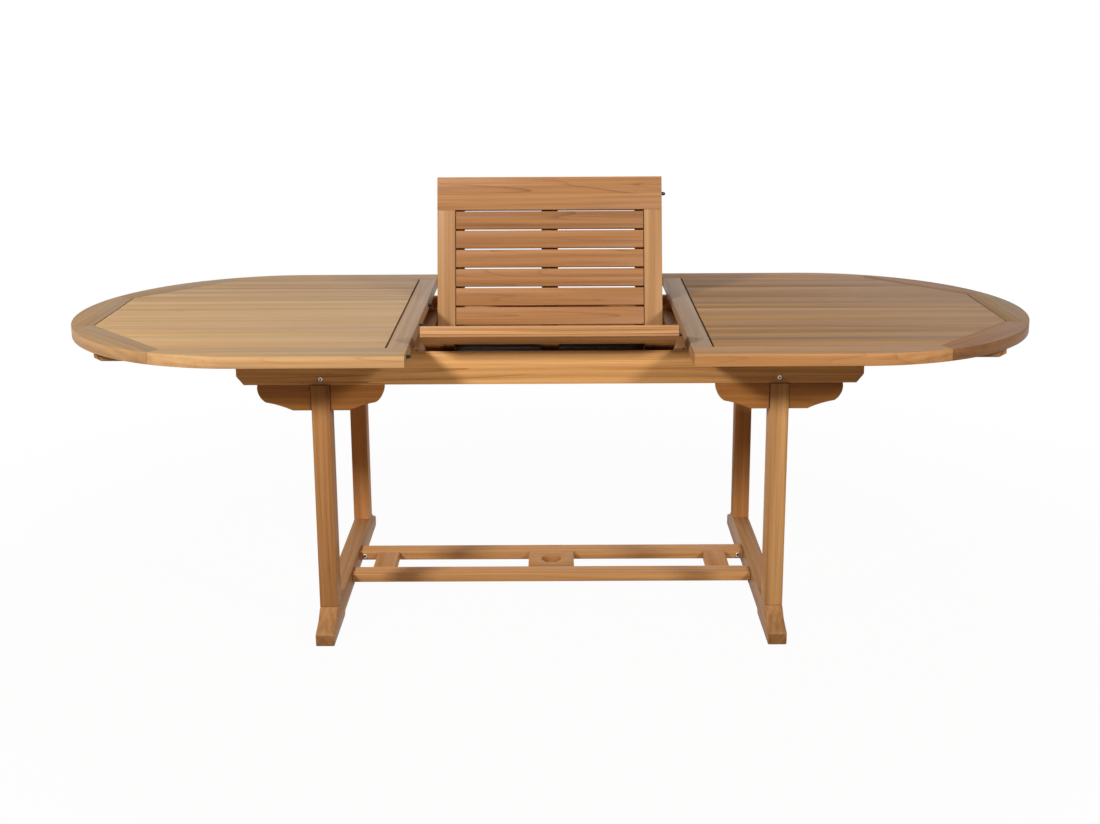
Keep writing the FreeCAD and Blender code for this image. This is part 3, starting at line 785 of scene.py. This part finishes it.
@dataclass(frozen=True)
class Turned:
    """A turned fitting that stands for every solid of a node.

    Its surface is a profile carried round the axis. The profile holds pairs of depth behind the outer end
    and radius, both in metres, from the outer end to the seat. A socket adds a hexagonal hole in the face:
    at the angle t its wall is half the width across the flats, divided by the cosine of t within each sixth
    of the turn, measured from that sixth's middle.
    """

    profile: Tuple[Tuple[float, float], ...]
    axis: int
    facing: Facing
    socket: float = 0.0
    socket_deep: float = 0.0
    steps: int = 48

    def mesh(self, node: str) -> bpy.types.Mesh:
        """Works out the surface of all solids of a node at once.

        Args:
            node: the node's name.

        Returns:
            A closed mesh; the second material lies in the sockets.
        """
        origin, sign = self._places(node)
        depth, reach, angle = self._rings()
        grid = np.broadcast_to(origin[:, None, None, :], (len(origin), *reach.shape, 3)).copy()
        grid[..., self.axis] -= sign[:, None, None] * depth[None, :, None]
        grid[..., (self.axis + 1) % 3] += reach * np.cos(angle)
        grid[..., (self.axis + 2) % 3] += reach * np.sin(angle)
        count, rings, steps = grid.shape[:3]
        index = np.arange(count * rings * steps).reshape(count, rings, steps)
        onward = np.roll(index, -1, axis=2)
        quads = np.stack([index[:, :-1], onward[:, :-1], onward[:, 1:], index[:, 1:]], axis=-1)
        inside = np.zeros(quads.shape[:3], dtype=np.int32)
        inside[:, : 2 if self.socket else 0] = 1
        mesh = bpy.data.meshes.new(f"{node}_turned")
        mesh.from_pydata(grid.reshape(-1, 3).tolist(), [], quads.reshape(-1, 4).tolist())
        mesh.polygons.foreach_set("material_index", inside.ravel())
        work = bmesh.new()
        work.from_mesh(mesh)
        bmesh.ops.remove_doubles(work, verts=work.verts, dist=SAME_POINT)
        bmesh.ops.recalc_face_normals(work, faces=work.faces)
        work.to_mesh(mesh)
        work.free()
        return mesh

    def _places(self, node: str) -> Tuple[np.ndarray, np.ndarray]:
        """The middle of each solid's outer end, and the sign of the way it looks along the axis."""
        source = welded(frame["nodes"][node].data, f"{node}_measured")
        points = np.empty(len(source.vertices) * 3)
        source.vertices.foreach_get("co", points)
        points = points.reshape(-1, 3)
        numbers = solids(source)
        bpy.data.meshes.remove(source)
        low = np.full((numbers.max() + 1, 3), np.inf)
        high = -low
        np.minimum.at(low, numbers, points)
        np.maximum.at(high, numbers, points)
        origin = (low + high) / 2.0
        outwards = np.where(origin[:, self.axis] < 0.0, -1.0, 1.0)
        ways = {Facing.FORWARD: np.ones_like(outwards), Facing.OUTWARDS: outwards, Facing.INWARDS: -outwards}
        sign = ways[self.facing]
        origin[:, self.axis] = np.where(sign > 0.0, high[:, self.axis], low[:, self.axis])
        return origin, sign

    def _rings(self) -> Tuple[np.ndarray, np.ndarray, np.ndarray]:
        """Depth of every ring, its radius at every step of the turn, and the steps' angles."""
        angle = np.arange(self.steps) * (2.0 * math.pi / self.steps)
        depth, radius = np.array(self.profile).T
        reach = np.repeat(radius[:, None], self.steps, axis=1)
        if self.socket:
            sixth = math.pi / 3.0
            wall = self.socket / np.cos(np.mod(angle, sixth) - sixth / 2.0)
            reach = np.vstack([np.zeros_like(wall), wall, wall, reach])
            depth = np.concatenate([[self.socket_deep, self.socket_deep, 0.0], depth])
        return depth, reach, angle


PIN_SHAPE = Turned(
    ((0.0, 0.0), (0.0001, 0.0012), (0.0006, 0.0022), (0.0016, 0.0032), (0.003, 0.0041), (0.0045, 0.0046),
     (0.006, 0.0048), (0.011, 0.0048), (0.011, 0.0)),
    axis=0, facing=Facing.FORWARD,
)
BOLT_SHAPE = Turned(
    ((0.0, 0.0050), (0.0004, 0.0058), (0.0011, 0.0063), (0.004, 0.0063), (0.004, 0.0038), (0.022, 0.0038),
     (0.022, 0.0)),
    axis=1, facing=Facing.OUTWARDS, socket=0.0027, socket_deep=0.003,
)
NUT_SHAPE = Turned(
    ((0.0, 0.0046), (0.0004, 0.0055), (0.001, 0.006), (0.0025, 0.006), (0.0025, 0.0)),
    axis=1, facing=Facing.INWARDS, socket=0.003, socket_deep=0.0022,
)


@dataclass
class Fittings:
    """Pins, bolts and nuts as turned pieces; the hinges keep their solids and take brass."""

    palette: Palette
    bodies: Dict[str, str]
    slots: Dict[str, str]
    turned: Dict[str, Turned] = field(default_factory=lambda: {
        "left_pins": PIN_SHAPE, "front_wing_pins": PIN_SHAPE, "rear_wing_pins": PIN_SHAPE,
        "apron_bolts": BOLT_SHAPE, "stretcher_bolts": NUT_SHAPE,
    })
    hinges: Tuple[str, ...] = ("hinge_pins", "front_wing_hinge_leaves", "rear_wing_hinge_leaves")
    crease: float = 40.0

    def build(self) -> None:
        """Turns the fittings and assigns the metals."""
        for node, shape in self.turned.items():
            mesh = shape.mesh(node)
            mesh.materials.append(self.palette.get(SLOT_FINISH[self.slots[node]], Grain.LENGTH))
            if shape.socket:
                mesh.materials.append(self.palette.get(Finish.PIN, Grain.LENGTH))
            mesh.polygons.foreach_set("use_smooth", np.ones(len(mesh.polygons), dtype=bool))
            mesh.set_sharp_from_angle(angle=math.radians(self.crease))
            made = bpy.data.objects.new(f"{node}_turned", mesh)
            bpy.context.scene.collection.objects.link(made)
            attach(made, self.bodies[node])
            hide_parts(node)
            LOG.info("%s: %d faces", made.name, len(mesh.polygons))
        for node in self.hinges:
            material = self.palette.get(SLOT_FINISH[self.slots[node]], Grain.LENGTH)
            for slot in frame["nodes"][node].material_slots:
                slot.material = material
            LOG.info("%s: %s", node, material.name)


@dataclass(frozen=True)
class Lamp:
    """A square area lamp: its place, the point it looks at, its side in metres and its power in watts."""

    name: str
    place: Vector
    aim: Vector
    size: float
    power: float
    reflected: bool = True

    def build(self) -> None:
        """Adds the lamp and turns it to its aim."""
        data = bpy.data.lights.new(self.name, "AREA")
        data.size = self.size
        data.energy = self.power
        lamp = bpy.data.objects.new(self.name, data)
        lamp.location = self.place
        back = np.array(self.place) - np.array(self.aim)
        flat = math.hypot(back[0], back[1])
        lamp.rotation_euler = (math.atan2(flat, back[2]), 0.0, math.atan2(back[0], -back[1]))
        lamp.visible_glossy = self.reflected
        bpy.context.scene.collection.objects.link(lamp)


@dataclass
class Studio:
    """White floor and background, soft lamps and the camera of the photograph."""

    floor_half: float = 14.0
    floor_matte: Colour = (0.37, 0.3, 0.225)
    shadow_share: float = 0.03
    shadow_near: float = 1.1
    shadow_far: float = 2.4
    white: Colour = (1.0, 1.0, 1.0)
    ambient: float = 0.15
    lamps: Tuple[Lamp, ...] = (
        Lamp("key_left", (-2.65, -2.85, 2.78), (0.0, -0.3, 0.65), 0.55, 152.0),
        Lamp("key_right", (2.9, -3.1, 2.75), (0.0, -0.3, 0.65), 0.6, 106.0),
        Lamp("fill_rear", (0.0, 3.6, 1.3), (0.0, 0.3, 0.6), 1.8, 60.0, reflected=False),
    )
    lens: float = 46.05
    sensor: float = 36.0
    eye: Vector = (0.0111, -3.5824, 1.5114)
    pitch: float = 12.738
    yaw: float = 0.177
    roll: float = -0.304
    shift: float = -0.0771
    sight: float = 100.0

    def build(self) -> None:
        """Adds the floor, world, lamps and camera."""
        self._floor()
        self._world()
        for lamp in self.lamps:
            lamp.build()
        self._camera()

    def _floor(self) -> None:
        """A wide flat floor: white where it is seen, with a faint shadow near the table, matte as light."""
        side = np.linspace(-self.floor_half, self.floor_half, 2)
        x, y = np.meshgrid(side, side, indexing="xy")
        points = np.stack([x, y, np.zeros_like(x)], axis=-1).reshape(-1, 3)
        mesh = bpy.data.meshes.new("studio_floor")
        mesh.from_pydata(points.tolist(), [], [(0, 1, 3, 2)])
        graph = Graph(bpy.data.materials.new("studio_white"))
        seen = graph.background_seen()
        matte = graph.node("ShaderNodeBsdfDiffuse", None, {"Color": (*self.floor_matte, 1.0)})
        white = graph.node("ShaderNodeEmission", None, {"Color": (*self.white, 1.0), "Strength": 1.0})
        place = graph.node("ShaderNodeTexCoord").outputs["Object"]
        away = graph.node("ShaderNodeVectorMath", {"operation": "LENGTH"}, {0: place})
        near = Term(graph, away.outputs["Value"]).over(self.shadow_far, self.shadow_near)
        share = seen * (1.0 - near * self.shadow_share)
        shaders = {0: share, 1: matte.outputs[0], 2: white.outputs[0]}
        mixed = graph.node("ShaderNodeMixShader", None, shaders)
        graph.node("ShaderNodeOutputMaterial", None, {"Surface": mixed.outputs[0]})
        mesh.materials.append(graph.owner)
        floor = bpy.data.objects.new("studio_floor", mesh)
        bpy.context.scene.collection.objects.link(floor)

    def _world(self) -> None:
        """White where it is seen, weaker as light."""
        graph = Graph(bpy.data.worlds.new("studio_world"))
        strength = self.ambient + graph.background_seen() * (1.0 - self.ambient)
        light = {"Color": (*self.white, 1.0), "Strength": strength}
        shine = graph.node("ShaderNodeBackground", None, light)
        graph.node("ShaderNodeOutputWorld", None, {"Surface": shine.outputs[0]})
        bpy.context.scene.world = graph.owner

    def _camera(self) -> None:
        """The camera: yaw, then pitch below the level, then a small roll about its own axis."""
        data = bpy.data.cameras.new("camera")
        data.sensor_fit = "HORIZONTAL"
        data.sensor_width = self.sensor
        data.lens = self.lens
        data.shift_y = self.shift
        data.clip_end = self.sight
        camera = bpy.data.objects.new("camera", data)
        matrix = Matrix.Translation(self.eye)
        for angle, axis in ((self.yaw, "Z"), (90.0 - self.pitch, "X"), (self.roll, "Z")):
            matrix = matrix @ Matrix.Rotation(math.radians(angle), 4, axis)
        camera.matrix_world = matrix
        bpy.context.scene.collection.objects.link(camera)
        bpy.context.scene.camera = camera


def bodies_and_slots() -> Tuple[Dict[str, str], Dict[str, str]]:
    """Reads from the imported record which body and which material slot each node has.

    Returns:
        Node to body, and node to slot.
    """
    record = frame["record"]
    bodies: Dict[str, str] = {}
    for body, nodes in record["behaviour"]["bodies"].items():
        bodies.update({node: body for node in nodes})
    slots = {part["node"]: part["material_slot"] for part in record["subparts"]}
    return bodies, slots


def main() -> None:
    """Builds the sub-assemblies in order."""
    logging.basicConfig(level=logging.INFO, format="%(name)s %(message)s")
    bpy.context.scene.view_settings.view_transform = "Standard"
    bodies, slots = bodies_and_slots()
    palette = Palette()
    timber = Timber(palette, bodies, slots)
    # The right half's darker set is partly a darker wood, partly painted shade where less light falls on it.
    paler = (Finish.FIELD, Finish.CROSS, Finish.RIM, Finish.CORNER_RIM, Finish.END_RIM)
    darker = (Finish.FIELD_DARK, Finish.CROSS_DARK, Finish.RIM_DARK, Finish.CORNER_DARK, Finish.END_DARK)
    TopHalf("left", timber, *paler).build()
    TopHalf("right", timber, *darker).build()
    Base(timber).build()
    for end in ("front", "rear"):
        Wing(end, timber).build()
    Fittings(palette, bodies, slots).build()
    Studio().build()


if __name__ == "__main__":
    main()
